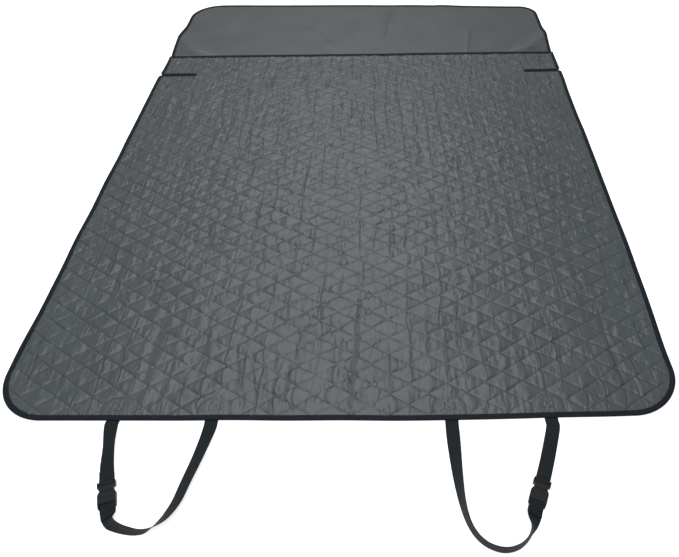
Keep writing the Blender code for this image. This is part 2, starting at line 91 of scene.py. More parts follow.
# Each long ripple: its two ends, half width and strength
RIPPLES = [
    ((0.030, -0.415), (0.023, -0.670), 6 * MM, 0.9),
    ((0.036, -0.250), (0.031, -0.400), 4 * MM, 0.4),
    ((-0.097, -0.500), (-0.099, -0.575), 3 * MM, 0.8),
    ((-0.105, -0.590), (-0.106, -0.665), 5 * MM, 0.9),
    ((-0.135, -0.565), (-0.136, -0.605), 3 * MM, 0.8),
    ((-0.181, -0.593), (-0.164, -0.663), 3 * MM, 0.7),
    ((0.139, -0.480), (0.136, -0.620), 4 * MM, 0.7),
    ((0.175, -0.465), (0.170, -0.564), 4 * MM, 0.7),
    ((0.218, -0.452), (0.208, -0.606), 4 * MM, 0.6),
    ((0.350, -0.300), (0.345, -0.640), 5 * MM, 0.4),
    ((-0.345, -0.385), (-0.335, -0.480), 5 * MM, 0.6),
]
# In half widths, for cloth with no ripple near
FAR_FROM_RIPPLES = 10.0
# Cells of random values each way, after which they repeat
TABLE = 256

# Specular level of the film, flat and in a crease
FILM_SHINE, CREASE_SHINE = 0.45, 0.27
# How much painted shade darkens the cloth's colour in the rows and in the creases
ROW_PAINTED_SHADE, CREASE_PAINTED_SHADE = 0.15, 0.34
# A row sinks fully out to the first distance and not at all from the second one on, and one
# set of rows is pulled tighter than the other
ROW_CORE, ROW_REACH, ROW_PULLS = 0.3 * MM, 2.0 * MM, (1.0, 0.6)
# The thread's dashes: their pitch, half a gap as a share of it, and half a thread's width
DASH_PITCH, DASH_GAP, DASH_REACH = 3 * MM, 0.14, 0.35 * MM
# Blender's wave texture makes 20 radians a metre at scale 1
WEAVE_PITCH, WAVE_TURNS = 1.4 * MM, 20


def rounded(dx, dy, radius):
    """How far in a point lies from two edges that meet in a rounded corner."""
    inner = radius - np.hypot(radius - dx, radius - dy)
    return np.where((dx < radius) & (dy < radius), inner, np.minimum(dx, dy))


def panel_depth(x, y):
    """How far in from the panel's edge a point lies, the two slits being edges too."""
    side = np.abs(x)
    half = np.where(y > slit_y, far_half_width, half_width)
    depth = np.minimum(rounded(half - side, y - near_y, NEAR_CORNER_RADIUS), far_y - y)
    at_tip = np.hypot(np.maximum(slit_tip - side, 0), y - slit_y) - SLIT_LIP
    at_mouth = rounded(half - side, np.abs(y - slit_y) - SLIT_LIP, SLIT_MOUTH_RADIUS)
    return np.minimum(depth, np.where(side < slit_tip, at_tip, at_mouth))


def patch_depth(x, y):
    """How far inside a strap-end patch a point lies. It is below zero outside them all."""
    depth = np.full(np.shape(x), -1.0)
    for (x0, _, _), (x1, y1, _) in patch_boxes.values():
        here = rounded(np.minimum(x - x0, x1 - x), y1 - y, PATCH_CORNER_RADIUS)
        depth = np.maximum(depth, here)
    return depth


def soft_noise(x, y, cell_x, cell_y, seed):
    """Smooth random values from -1 to 1, the same for every piece at the same place."""
    table = np.random.default_rng(seed).uniform(-1, 1, (TABLE, TABLE))
    gx, gy = x / cell_x, y / cell_y
    ix, iy = np.floor(gx).astype(int), np.floor(gy).astype(int)
    fx, fy = gx - ix, gy - iy
    fx, fy = fx * fx * (3 - 2 * fx), fy * fy * (3 - 2 * fy)
    left, right, low, high = ix % TABLE, (ix + 1) % TABLE, iy % TABLE, (iy + 1) % TABLE
    near = table[left, low] * (1 - fx) + table[right, low] * fx
    far = table[left, high] * (1 - fx) + table[right, high] * fx
    return near * (1 - fy) + far * fy


def smooth(low, high, value):
    """0 up to low, 1 from high on, and an eased step between them."""
    share = np.clip((value - low) / (high - low), 0, 1)
    return share * share * (3 - 2 * share)


def beside(x, y, start, end):
    """How far along a line each point lies, from 0 to 1, and how far off it."""
    way, gone = np.subtract(end, start), np.stack([x - start[0], y - start[1]])
    along = (gone[0] * way[0] + gone[1] * way[1]) / (way @ way)
    return along, (gone[0] * way[1] - gone[1] * way[0]) / np.hypot(*way)


def settle(points):
    """Points of a cloth piece, moved as the liner lies on the floor: in low waves, pulled in
    at the right near corner, askew along the far seam and bowed at the flap's end."""
    x, y, z = np.asarray(points, float).T
    near = 1 - smooth(near_y, near_y + 0.45, y)
    right, inward = smooth(0.10, half_width, x), smooth(0.40, half_width, x)
    off_straps = smooth(near_y + 0.02, near_y + 0.16, y)
    askew = smooth(slit_y - 0.70, slit_y, y) * (1 - smooth(far_y, far_y + 0.30, y))
    askew = askew * x / half_width
    bow = smooth(far_y, far_y + 0.38, y) * (np.cos((x + 0.10) * 2.4) - 0.35)
    dx = -PULL_IN * inward * near + WANDER_X * off_straps * soft_noise(x, y, 0.50, 0.11, 12)
    dy = PULL_UP * right * near + ASKEW * askew + BOW * bow
    dy = dy + WANDER_Y * soft_noise(x, y, 0.10, 0.50, 13)
    waves = soft_noise(x, y, 0.17, 0.26, 11) * 0.5 + 0.5
    rise = WAVE_HEIGHT * waves * waves * smooth(near_y + 0.02, near_y + 0.20, y)
    return np.stack([x + dx, y + dy, z + rise], 1)


def linear(hex_colour):
    """An sRGB hex colour as the linear colour that a shader takes."""
    parts = [int(hex_colour[i:i + 2], 16) / 255 for i in (1, 3, 5)]
    return (*[c / 12.92 if c <= 0.04045 else ((c + 0.055) / 1.055) ** 2.4 for c in parts], 1.0)


def put(tree, kind, inputs=None, **settings):
    """Add a node. inputs gives a value, or the socket that feeds it, for a socket."""
    node = tree.nodes.new("ShaderNode" + kind)
    for name, value in settings.items():
        setattr(node, name, value)
    for socket, value in (inputs or {}).items():
        if isinstance(value, bpy.types.NodeSocket):
            tree.links.new(value, node.inputs[socket])
        else:
            node.inputs[socket].default_value = value
    return node


def calc(tree, operation, *values):
    """The result of a Math node. Each value is a number or the socket that feeds it."""
    return put(tree, "Math", dict(enumerate(values)), operation=operation).outputs[0]


def remap(tree, value, low, high, to_low=0.0, to_high=1.0, eased=False):
    """The value carried over from one range to another, and held at the ends."""
    ends = {"From Min": low, "From Max": high, "To Min": to_low, "To Max": to_high}
    return put(tree, "MapRange", {"Value": value, **ends},
               interpolation_type="SMOOTHSTEP" if eased else "LINEAR").outputs[0]


def noise(tree, place, scale, detail):
    """Noise from 0 to 1. Its largest patches are about one over the scale across, in metres."""
    levels = {"Vector": place, "Scale": scale, "Detail": detail}
    return put(tree, "TexNoise", levels).outputs["Fac"]


def drawn_out(tree, place, share):
    """A place at which patterns come out longer along the liner, by one over the share."""
    return put(tree, "Mapping", {"Vector": place, "Scale": (1.0, share, 1.0)}).outputs[0]


def blend(tree, share, first, second):
    """The first colour at share 0 and the second at share 1."""
    return put(tree, "Mix", {"Factor": share, 6: first, 7: second}, data_type="RGBA").outputs[2]


def bump(tree, height, strength, distance, below=None, **settings):
    """The normal bent by a height, on top of the bump below it if there is one."""
    inputs = {"Height": height, "Strength": strength, "Distance": distance}
    if below is not None:
        inputs["Normal"] = below
    return put(tree, "Bump", inputs, **settings).outputs[0]


def read_map(tree, layer="UVMap"):
    """The values of a UV map, one socket each."""
    return put(tree, "SeparateXYZ", {0: put(tree, "UVMap", uv_map=layer).outputs[0]}).outputs


def start_material(name, **levels):
    """A new material, its node tree and its Principled shader with some levels set."""
    made = bpy.data.materials.new(name)
    made.use_nodes = True
    shader = made.node_tree.nodes["Principled BSDF"]
    for socket, value in levels.items():
        shader.inputs[socket.replace("_", " ")].default_value = value
    return made, made.node_tree, shader


def add_piece(name, points, faces, finish, slot, replaced=(), uv=None, **more_maps):
    """A mesh piece that rides with the liner and stands for the CAD nodes named."""
    mesh = bpy.data.meshes.new(name)
    mesh.from_pydata(np.asarray(points).tolist(), [], [tuple(face) for face in faces])
    loops = np.empty(len(mesh.loops), int)
    mesh.loops.foreach_get("vertex_index", loops)
    for layer, values in {"UVMap": uv, **more_maps}.items():
        if values is not None:
            mesh.uv_layers.new(name=layer).data.foreach_set("uv", values[loops].ravel())
    mesh.materials.append(finish)
    mesh.shade_smooth()
    mesh.set_sharp_from_angle(angle=math.radians(60))
    made = bpy.data.objects.new(name, mesh)
    bpy.context.collection.objects.link(made)
    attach(made, "root")
    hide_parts(*replaced)
    return made


def corners(values):
    """The values at the four corners of each quad of a grid."""
    return np.stack([values[:-1, :-1], values[1:, :-1], values[1:, 1:], values[:-1, 1:]])


def grid_faces(quads):
    """The chosen quads of a grid as faces, and which points they use."""
    used = np.zeros(np.add(quads.shape, 1), bool)
    for i, j in ((0, 0), (1, 0), (1, 1), (0, 1)):
        used[i:i + quads.shape[0], j:j + quads.shape[1]] |= quads
    number = np.cumsum(used.ravel()).reshape(used.shape) - 1
    i, j = np.nonzero(quads)
    faces = [number[i, j], number[i + 1, j], number[i + 1, j + 1], number[i, j + 1]]
    return np.stack(faces, 1), used


def coated_polyester(name, face, paler, gloss=0.34):
    """Coated woven polyester: a fine plain weave under a thin film. The film gives a satin
    gloss that breaks up over small crumples, and the cloth pales a little where it is rubbed."""
    made, tree, shader = start_material(name, Specular_IOR_Level=FILM_SHINE)
    place = put(tree, "TexCoord").outputs["Object"]
    # Threads every 0.45 mm, drawn every 1.4 mm so that they show
    turns = 2 * math.pi / WEAVE_PITCH / WAVE_TURNS
    warp, weft = (put(tree, "TexWave", {"Vector": place, "Scale": turns, "Distortion": 0.6},
                      bands_direction=way).outputs["Fac"] for way in "XY")
    weave = calc(tree, "MULTIPLY", warp, weft)
    # Rubbed places 60 to 120 mm across, and crumples 6 mm across that run along the liner
    pale = remap(tree, noise(tree, place, 9.0, 4.0), 0.35, 0.75)
    colour = blend(tree, pale, linear(face), linear(paler))
    crumple = noise(tree, drawn_out(tree, place, 0.35), 160.0, 3.0)
    rough = remap(tree, crumple, 0.3, 0.7, gloss - 0.04, gloss + 0.04)
    fine = bump(tree, weave, 0.10, 0.2 * MM)
    uneven = bump(tree, crumple, 0.35, 1.0 * MM, fine)
    tree.links.new(colour, shader.inputs["Base Color"])
    tree.links.new(rough, shader.inputs["Roughness"])
    tree.links.new(uneven, shader.inputs["Normal"])
    return made, tree, shader, colour, uneven


def sew_rows(tree, shader, colour, normal):
    """Stitch rows along the lattice that the UV map holds: the cloth sinks in them and shade is
    painted into its colour there, and the thread shows as short dashes, one every 3 mm. Thin
    creases run along Y through the diamonds, where and as strong as the second UV map says, and
    long ripples where the third one says. Creases and ripples sink too, with painted shade and less
    shine."""
    lattice, creases, ripples = (read_map(tree, name) for name in ("UVMap", "Creases", "Ripples"))
    spacing = 1 / math.hypot(1 / DIAMOND_WIDTH, 1 / DIAMOND_LENGTH)
    side = math.hypot(DIAMOND_WIDTH, DIAMOND_LENGTH) / 2
    offs = [calc(tree, "PINGPONG", lattice[k], 0.5) for k in (0, 1)]
    # One set of rows is pulled tighter than the other, so it sinks more
    row = calc(tree, "MAXIMUM", *(
        remap(tree, off, ROW_CORE / spacing, ROW_REACH / spacing, pull, 0.0, eased=True)
        for off, pull in zip(offs, ROW_PULLS)))
    # The rows show more in some places than in others, 40 to 100 mm across. They slacken
    # towards the far end and left of the middle
    place = put(tree, "TexCoord").outputs["Object"]
    where = put(tree, "SeparateXYZ", {0: place}).outputs
    far = remap(tree, where[1], -0.3, 0.4)
    aside = calc(tree, "ABSOLUTE", calc(tree, "ADD", where[0], 0.12))
    slack = calc(tree, "MULTIPLY", remap(tree, far, 0.0, 1.0, 0.9, 0.3),
                 remap(tree, aside, 0.05, 0.40, 0.4, 1.0))
    tight = remap(tree, noise(tree, place, 14.0, 2.0), 0.38, 0.66, 0.10, slack)
    # Small creases along the liner, 9 by 57 mm, show most where the rows are slack
    streak = noise(tree, drawn_out(tree, place, 0.16), 110.0, 1.0)
    streak = calc(tree, "MULTIPLY", remap(tree, streak, 0.57, 0.73),
                  remap(tree, far, 0.0, 1.0, 0.2, 1.0))
    # Wrinkles 11 by 31 mm, in some diamonds more than in others
    wrinkle = noise(tree, drawn_out(tree, place, 0.35), 90.0, 1.0)
    loose = remap(tree, noise(tree, place, 22.0, 0.0), 0.35, 0.65, 0.1, 0.9)
    normal = bump(tree, wrinkle, loose, 4.0 * MM, normal)
    # Across each diamond from 0 to 2, less the place of its crease near 1
    across = calc(tree, "ADD", *(calc(tree, "FRACT", lattice[k]) for k in (0, 1)))
    off = calc(tree, "ABSOLUTE", calc(tree, "SUBTRACT", across, creases[0]))
    line = remap(tree, off, 0.02, 0.075, 1.0, 0.0, eased=True)
    crease = calc(tree, "MAXIMUM", calc(tree, "MULTIPLY", line, creases[1]), streak)
    # Long ripples, across which their map goes from -1 to 1
    line = remap(tree, calc(tree, "ABSOLUTE", ripples[0]), 0.4, 1.0, 1.0, 0.0, eased=True)
    crease = calc(tree, "MAXIMUM", crease, calc(tree, "MULTIPLY", line, ripples[1]))
    # Painted shade: the rows, creases and ripples darken the cloth's colour towards near black
    painted_row_shade = calc(tree, "MULTIPLY", calc(tree, "MULTIPLY", row, tight), ROW_PAINTED_SHADE)
    shade = calc(tree, "MAXIMUM", painted_row_shade, calc(tree, "MULTIPLY", crease, CREASE_PAINTED_SHADE))
    painted_shade_colour = blend(tree, shade, colour, linear("#1b1e1f"))
    # Little light gets into the creases, so they hardly shine
    shine = remap(tree, shade, 0.0, 0.4, FILM_SHINE, CREASE_SHINE)
    dashes = []
    for off, along in zip(offs, (lattice[1], lattice[0])):
        run = calc(tree, "MULTIPLY", along, side / DASH_PITCH)
        dash = calc(tree, "GREATER_THAN", calc(tree, "PINGPONG", run, 0.5), DASH_GAP)
        near = calc(tree, "LESS_THAN", off, DASH_REACH / spacing)
        dashes.append(calc(tree, "MULTIPLY", dash, near))
    sewn = blend(tree, calc(tree, "MAXIMUM", *dashes), painted_shade_colour, linear("#2b2f30"))
    # Slack rows sink less
    sunk_row = calc(tree, "MULTIPLY", row, remap(tree, tight, 0.0, 0.9, 0.35, 1.0))
    depth = calc(tree, "MAXIMUM", sunk_row, crease)
    valley = bump(tree, depth, 0.6, 1.0 * MM, normal, invert=True)
    tree.links.new(sewn, shader.inputs["Base Color"])
    tree.links.new(shine, shader.inputs["Specular IOR Level"])
    tree.links.new(valley, shader.inputs["Normal"])


def row_drift(x, y):
    """How far the stitch rows have moved off an even lattice: the gathers draw the cloth
    together more at the left and the far end than at the right."""
    right = DRIFT - DRIFT_BEND * (x - 0.15) ** 2 + FAR_DRIFT * smooth(0.15, 0.65, y)
    far = -DRIFT_ALONG * smooth(-0.35, 0.55, x) * (1 - 0.5 * (y / far_y) ** 2)
    return right, far


def quilted_face():
    """The face cloth on a grid that runs along the stitch rows: its points, its triangles and
    its UV maps. They hold the lattice of the rows, the place and strength of the crease in
    each diamond, and the way to the nearest long ripple in its half widths and its strength."""
    reach = math.ceil(half_width / DIAMOND_WIDTH + far_y / DIAMOND_LENGTH) + 2
    steps = np.add.outer(np.arange(-reach, reach), GRID_SHARES).ravel()
    a, b = np.meshgrid(steps, steps, indexing="ij")
    even_x, even_y = (a + b) / 2 * DIAMOND_WIDTH, (a - b) / 2 * DIAMOND_LENGTH
    x, y = even_x, even_y
    for _ in range(3):
        drift = row_drift(x, y)
        x, y = even_x - drift[0], even_y - drift[1]
    bank = corners(np.where(np.abs(x) > slit_tip, np.sign(y - slit_y), 0))
    over_slit = bank.max(0) - bank.min(0) > 1
    quads, used = grid_faces(corners(panel_depth(x, y) > RIM_DEPTH).any(0) & ~over_slit)
    faces = np.concatenate([quads[:, [0, 1, 3]], quads[:, [1, 2, 3]]])
    a, b, x, y = a[used], b[used], x[used], y[used]
    # The outermost points are drawn in to the rim, square to it
    for _ in range(3):
        short = np.clip(RIM_DEPTH - panel_depth(x, y), 0, None)
        slope_x = panel_depth(x + PROBE, y) - panel_depth(x - PROBE, y)
        slope_y = panel_depth(x, y + PROBE) - panel_depth(x, y - PROBE)
        steep = np.maximum(np.hypot(slope_x, slope_y), PROBE)
        x, y = x + short * slope_x / steep, y + short * slope_y / steep
    depth, under_patch = panel_depth(x, y), patch_depth(x, y)

    # Each diamond rises to a ridge along the liner, by its own height and less at the far end.
    # Small folds lie on it, and a few ripples run on through its neighbours
    rng = np.random.default_rng(7)
    cell = (np.floor(a).astype(int) % TABLE, np.floor(b).astype(int) % TABLE)
    puff = rng.uniform(*PUFF, (TABLE, TABLE))[cell] * (1 - 0.55 * smooth(-0.1, 0.4, y))
    p, q = a % 1, b % 1
    tent = 1 - np.abs(p + q - 1)
    rim = 2 * np.minimum(np.minimum(p, 1 - p), np.minimum(q, 1 - q))
    open_cloth = smooth(0, 0.35, rim)
    folds = soft_noise(x, y, 11 * MM, 32 * MM, 21) + 0.6 * soft_noise(x, y, 7 * MM, 16 * MM, 22)
    height = smooth(-0.06, 0.2, rim) * puff * (0.20 + 0.80 * tent) + FOLD * folds * open_cloth
    height -= RIPPLE * smooth(0.45, 0.85, soft_noise(x, y, 15 * MM, 110 * MM, 23))
    # The long ripples, finer than the grid, go into a map for the shader
    ripples = np.stack([np.full(x.shape, FAR_FROM_RIPPLES), np.zeros(x.shape)], 1)
    for start, end, wide, strength in RIPPLES:
        along, off = beside(x, y, start, end)
        off, ends = off / wide, smooth(-0.12, 0.06, along) * (1 - smooth(0.94, 1.12, along))
        near = (np.abs(off) < np.abs(ripples[:, 0])) & (ends > 0)
        ripples[near] = np.stack([off, strength * ends], 1)[near]
    # All lies flat under the tape and the patches
    height *= smooth(9 * MM, 14 * MM, depth) * (1 - smooth(-6 * MM, 2 * MM, under_patch))
    over_flap = OVER_FLAP * smooth(far_y - 40 * MM, far_y - 15 * MM, y)
    z = EDGE_SEAT + (SEAT - EDGE_SEAT) * smooth(8 * MM, 14 * MM, depth) + over_flap + height
    ripples[:, 0] += 0.3 * soft_noise(x, y, 30 * MM, 30 * MM, 29)
    place = 0.07 * soft_noise(x, y, 40 * MM, 60 * MM, 28)
    strength = soft_noise(x, y, 34 * MM, 75 * MM, 27) + 0.25 * smooth(0.1, 0.5, y)
    strength = smooth(-0.25, 0.7, strength)
    wobble = WOBBLE * smooth(4 * MM, 30 * MM, depth)
    stray = RIDGE_STRAY * soft_noise(x, y, 60 * MM, 130 * MM, 26) * smooth(12 * MM, 35 * MM, depth)
    stray = stray * tent * open_cloth * DIAMOND_WIDTH / 2
    x = x + wobble * soft_noise(x, y, 40 * MM, 40 * MM, 24) + stray
    y = y + wobble * soft_noise(x, y, 40 * MM, 40 * MM, 25)
    maps = {"UVMap": np.stack([a, b], 1), "Creases": np.stack([1 + place, strength], 1),
            "Ripples": ripples}
    return np.stack([x, y, z], 1), faces, maps


def close_below(piece, floor_gap):
    """Carry the rim of a face cloth down to a flat backing cloth, just above the floor."""
    bm = bmesh.new()
    bm.from_mesh(piece.data)
    grown = bmesh.ops.extrude_edge_only(bm, edges=[e for e in bm.edges if e.is_boundary])["geom"]
    for part in grown:
        if isinstance(part, bmesh.types.BMVert):
            part.co.z = floor_gap
    rim = [part for part in grown if isinstance(part, bmesh.types.BMEdge) and part.is_boundary]
    bmesh.ops.holes_fill(bm, edges=rim, sides=0)
    bmesh.ops.recalc_face_normals(bm, faces=bm.faces[:])
    bm.to_mesh(piece.data)
    bm.free()
    piece.data.set_sharp_from_angle(angle=math.radians(60))


quilt_cloth, *parts = coated_polyester("quilted_coated_polyester", "#494f51", "#505658")
sew_rows(*parts)
points, faces, maps = quilted_face()
quilt = add_piece("quilted_panel_cloth", settle(points), faces, quilt_cloth, "quilted_cloth",
                  ["quilted_panel"], maps.pop("UVMap"), **maps)
close_below(quilt, BACKING_GAP)

# BINDING TAPE
# Woven polyester tape, folded over the raw edges of the panel and the flap and lockstitched
# through all layers near its inner edge. Its upper leg puckers a little between stitches.

TAPE_THICKNESS = 0.5 * MM
TAPE_WIDTH, SLIT_TAPE_WIDTH = 11 * MM, 8 * MM
FAR_TAPE_WIDTH, FLAP_TAPE_WIDTH = 14 * MM, 11 * MM
TAPE_STEP = 3.5 * MM
# Outer height of the folded tape at either edge. At the far seam it starts above the flap
PANEL_EDGE_HEIGHT, FLAP_EDGE_HEIGHT, FAR_EDGE_BOTTOM = 4.0 * MM, 2.6 * MM, 1.5 * MM
FLAP_LEFT_RADIUS, FLAP_RIGHT_RADIUS = 105 * MM, 62 * MM
STITCH_PITCH, STITCH_SHOWN = 3.2 * MM, 2.5 * MM
# Where across the tape it is stitched, how high its upper leg is there and its pucker
STITCH_LINE, STITCH_DIP, TAPE_PUCKER = 0.80, 0.84, 0.28 * MM
# A thread at its start, middle and end: its width and its rise, as shares of its thickness
THREAD_TAPER, THREAD_RISE, THREAD_FLATNESS = (0.55, 1.0, 0.55), (-0.8, 0.2, -0.8), 0.7
THREAD_LIFT = 0.1 * MM


def arc(centre_x, centre_y, radius, start, end, widths):
    """Stations (x, y, outward x, outward y, tape width) round a corner. A radius below zero
    has the cloth outside it."""
    steps = max(6, math.ceil(abs(radius) * math.radians(abs(end - start)) / TAPE_STEP))
    angles = np.radians(np.linspace(start, end, steps + 1))
    nx, ny = np.cos(angles), np.sin(angles)
    width = np.linspace(*widths, steps + 1)
    return np.stack([centre_x + nx * radius, centre_y + ny * radius, nx, ny, width], 1)


def panel_rail():
    """Left side, near edge and right side of the panel, in and out of both slits."""
    wide, slim, mouth = TAPE_WIDTH, SLIT_TAPE_WIDTH, SLIT_MOUTH_RADIUS
    corner_x, corner_y = half_width - NEAR_CORNER_RADIUS, near_y + NEAR_CORNER_RADIUS
    upper, lower = slit_y + SLIT_LIP + mouth, slit_y - SLIT_LIP - mouth
    left = np.concatenate([
        [(-far_half_width, far_y, -1, 0, wide)],
        arc(-far_half_width + mouth, upper, mouth, 180, 270, (wide, slim)),
        arc(-slit_tip, slit_y, -SLIT_LIP, 270, 90, (slim, slim)),
        arc(-half_width + mouth, lower, mouth, 90, 180, (slim, wide)),
        arc(-corner_x, corner_y, NEAR_CORNER_RADIUS, 180, 270, (wide, wide)),
    ])
    return np.concatenate([left, left[::-1] * (-1, 1, -1, 1, 1)])


def flap_rail():
    """Left side, far edge and right side of the flap."""
    left, right, wide = FLAP_LEFT_RADIUS, FLAP_RIGHT_RADIUS, FLAP_TAPE_WIDTH
    (x0, y0, _), (x1, y1, _) = flap_low, flap_high
    return np.concatenate([
        [(x0, y0, -1, 0, wide)],
        arc(x0 + left, y1 - left, left, 180, 90, (wide, wide)),
        arc(x1 - right, y1 - right, right, 90, 0, (wide, wide)),
        [(x1, y0, 1, 0, wide)],
    ])


def evened(rail):
    """The rail with stations added wherever two lie further apart than the tape's step."""
    made = [rail[:1]]
    for here, there in zip(rail, rail[1:]):
        count = max(1, math.ceil(np.hypot(*(there[:2] - here[:2])) / TAPE_STEP))
        made.append(here + (there - here) * np.arange(1, count + 1)[:, None] / count)
    return np.concatenate(made)


def travelled(points):
    """Distance gone along a line of points at each of them."""
    steps = np.linalg.norm(np.diff(points, axis=0), axis=1)
    return np.concatenate([[0], np.cumsum(steps)])


def tape_section(height):
    """The folded tape cut across, as (share of its width in, further in, height): its outer
    face from the lower inner edge over the fold to the upper one, then back along its inner
    face. The upper leg dips along the stitch row."""
    soft, wall = 0.45 * height, TAPE_THICKNESS
    fold = [(0, soft * (1 - math.cos(t)), height / 2 * (1 + math.sin(t)))
            for t in np.radians(np.linspace(-90, 90, 9))]
    upper = [(0.35, 0, 0.99), (0.55, 0, 0.96), (0.70, 0, 0.92), (STITCH_LINE, 0, STITCH_DIP),
             (0.90, 0, 0.90), (1.0, 0, STITCH_DIP)]
    outer = [(1, 0, 0), (0.5, 0, 0)] + fold + [(s, n, share * height) for s, n, share in upper]
    inner = [(1, 0, STITCH_DIP * height - wall), (0.5, 0, 0.95 * height - wall),
             (0, soft, height - wall), (0, wall, height / 2), (0, soft, wall), (1, 0, wall)]
    return outer + inner


def woven_tape(name, face, paler, rib):
    """Woven polyester tape: fine ribs across it, nearly matt, with a faint dry sheen."""
    made, tree, shader = start_material(name, Roughness=0.65, Specular_IOR_Level=0.12)
    wave = calc(tree, "SINE", calc(tree, "MULTIPLY", read_map(tree)[1], 2 * math.pi / rib))
    rubbed = noise(tree, put(tree, "TexCoord").outputs["Object"], 60.0, 3.0)
    tree.links.new(blend(tree, rubbed, linear(face), linear(paler)), shader.inputs["Base Color"])
    tree.links.new(bump(tree, wave, 0.3, 0.15 * MM), shader.inputs["Normal"])
    return made


def swept(rows, run):
    """Points, faces and UVs of a closed section swept along a rail and capped at both ends.
    rows holds the points of each place round the section, run the distance along the rail."""
    count, n = len(rows), len(run)
    around = np.concatenate([[0], np.cumsum([np.linalg.norm(b[n // 2] - a[n // 2])
                                             for a, b in zip(rows, rows[1:])])])
    i, k = np.meshgrid(np.arange(n - 1), np.arange(count))
    here, there = (k * n + i).ravel(), ((k + 1) % count * n + i).ravel()
    faces = np.stack([here, here + 1, there + 1, there], 1).tolist()
    faces += [[k * n for k in range(count)], [k * n + n - 1 for k in reversed(range(count))]]
    uv = np.concatenate([np.stack([np.full(n, u), run], 1) for u in around])
    return np.concatenate(rows), faces, uv


def tape_piece(name, rail, bottom, height, lie, replaced):
    """Sweep the folded tape along a rail, and give the line where it is stitched."""
    rail = evened(rail)
    x, y, nx, ny, width = rail.T
    run = travelled(rail[:, :2])
    rows = []
    for share, more, z in tape_section(height):
        inset = width * share + more
        pucker = TAPE_PUCKER * share * soft_noise(run, run * 0, 5 * MM, 1.0, 31) * (z > height / 2)
        rows.append(lie(np.stack([x - nx * inset, y - ny * inset, bottom + z + pucker], 1)))
    points, faces, uv = swept(rows, run)
    piece = add_piece(name, points, faces, tape_cloth, "binding_tape", replaced, uv)
    inset = width * STITCH_LINE
    top = bottom + STITCH_DIP * height + THREAD_LIFT
    return piece, lie(np.stack([x - nx * inset, y - ny * inset, np.full(len(x), top)], 1))


def sewing_thread(name, face):
    """Spun polyester sewing thread, matt with a little fuzz."""
    return start_material(name, Base_Color=linear(face), Roughness=0.7, Sheen_Weight=0.1)[0]


def stitch_piece(name, lines, finish, slot, thick=0.25 * MM):
    """Lockstitch along lines of points: short threads that dip into the cloth at both ends."""
    turns = np.radians([0, 72, 144, 216, 288])
    threads = []
    for line in lines:
        run = travelled(line)
        at = np.arange(0, run[-1] - STITCH_SHOWN, STITCH_PITCH)
        places = [[np.interp(at + share * STITCH_SHOWN, run, line[:, k]) for k in range(3)]
                  for share in (0, 0.5, 1)]
        threads.append(np.transpose(places, (2, 0, 1)))
    places = np.concatenate(threads)
    along = places[:, 2] - places[:, 0]
    along /= np.linalg.norm(along, axis=1)[:, None]
    across = np.cross(along, (0, 0, 1))
    across /= np.linalg.norm(across, axis=1)[:, None]
    up = np.cross(across, along)
    size, rise = np.array(THREAD_TAPER) * thick, np.array(THREAD_RISE) * thick
    ring = (places[:, :, None] + up[:, None, None] * rise[:, None, None]
            + across[:, None, None] * (size[:, None] * np.cos(turns))[..., None]
            + up[:, None, None] * (THREAD_FLATNESS * size[:, None] * np.sin(turns))[..., None])
    count = len(turns)
    k, r, s = np.meshgrid(np.arange(len(places)), np.arange(2), np.arange(count), indexing="ij")
    here = ((k * 3 + r) * count + s).ravel()
    side = ((k * 3 + r) * count + (s + 1) % count).ravel()
    faces = np.stack([here, side, side + count, here + count], 1)
    return add_piece(name, ring.reshape(-1, 3), faces, finish, slot)


tape_cloth = woven_tape("woven_polyester_tape", "#141a21", "#20272f", 0.9 * MM)
_, panel_row = tape_piece("panel_edge_tape", panel_rail(), 0, PANEL_EDGE_HEIGHT, settle,
                          ["panel_binding"])
far_reach = far_half_width - TAPE_WIDTH
far_rail = np.array([(side * far_reach, far_y, 0, 1, FAR_TAPE_WIDTH) for side in (-1, 1)])
_, far_row = tape_piece("far_edge_tape", far_rail, FAR_EDGE_BOTTOM, PANEL_EDGE_HEIGHT, settle,
                        ["far_edge_binding"])
tape_thread = sewing_thread("spun_polyester_thread", "#1b1e22")
stitch_piece("panel_edge_stitches", [panel_row, far_row], tape_thread, "binding_tape")

# BUMPER FLAP
# One layer of the same coated polyester, not quilted, sewn under the panel's far edge. It
# hangs over a bumper in use. Here it lies flat, folded up a little at both ends of its seam.

FLAP_LAYER = 1.2 * MM
# Spacing of the grid, and how far in under the tape it ends
FLAP_SPACING, FLAP_RIM = 4 * MM, 1.0 * MM
FLAP_TUCK, FLAP_WAVE = 30 * MM, 1.5 * MM
# The corner folds: their height, and their reach along the seam and along the side
FOLD_HEIGHT = 15 * MM
FOLD_REACH = (87 * MM, 114 * MM)
CREASE_REACH = 9 * MM
# Each crease: its two ends and its height
CREASES = [
    ((0.060, 0.806), (0.096, 1.083), 5.0 * MM),
    ((0.360, 0.731), (0.382, 0.909), 5.0 * MM),
    ((-0.091, 0.754), (-0.212, 0.937), 3.0 * MM),
]


def lay_flap(points):
    """The flap as it lies: the folds at the ends of its seam, its creases and its waves."""
    x, y, z = np.asarray(points, float).T
    to_side = np.minimum(x - flap_low.x, flap_high.x - x)
    inside = 1 - to_side / FOLD_REACH[0] - (y - far_y) / FOLD_REACH[1]
    fold = np.where(inside > 0, 1 - inside, smooth(-1.1, 0, inside))
    lift = FOLD_HEIGHT * fold * smooth(0, 22 * MM, y - far_y)
    for start, end, tall in CREASES:
        along, off = beside(x, y, start, end)
        ends = smooth(-0.1, 0.2, along) * (1 - smooth(0.8, 1.1, along))
        lift = lift + tall * ends * np.exp(-np.abs(off) / CREASE_REACH)
    waves = smooth(0.3, 1.0, soft_noise(x, y, 0.10, 0.16, 14))
    lift = lift + FLAP_WAVE * waves * smooth(0, 0.05, y - far_y)
    return settle(np.stack([x, y, z + lift * (y > far_y)], 1))


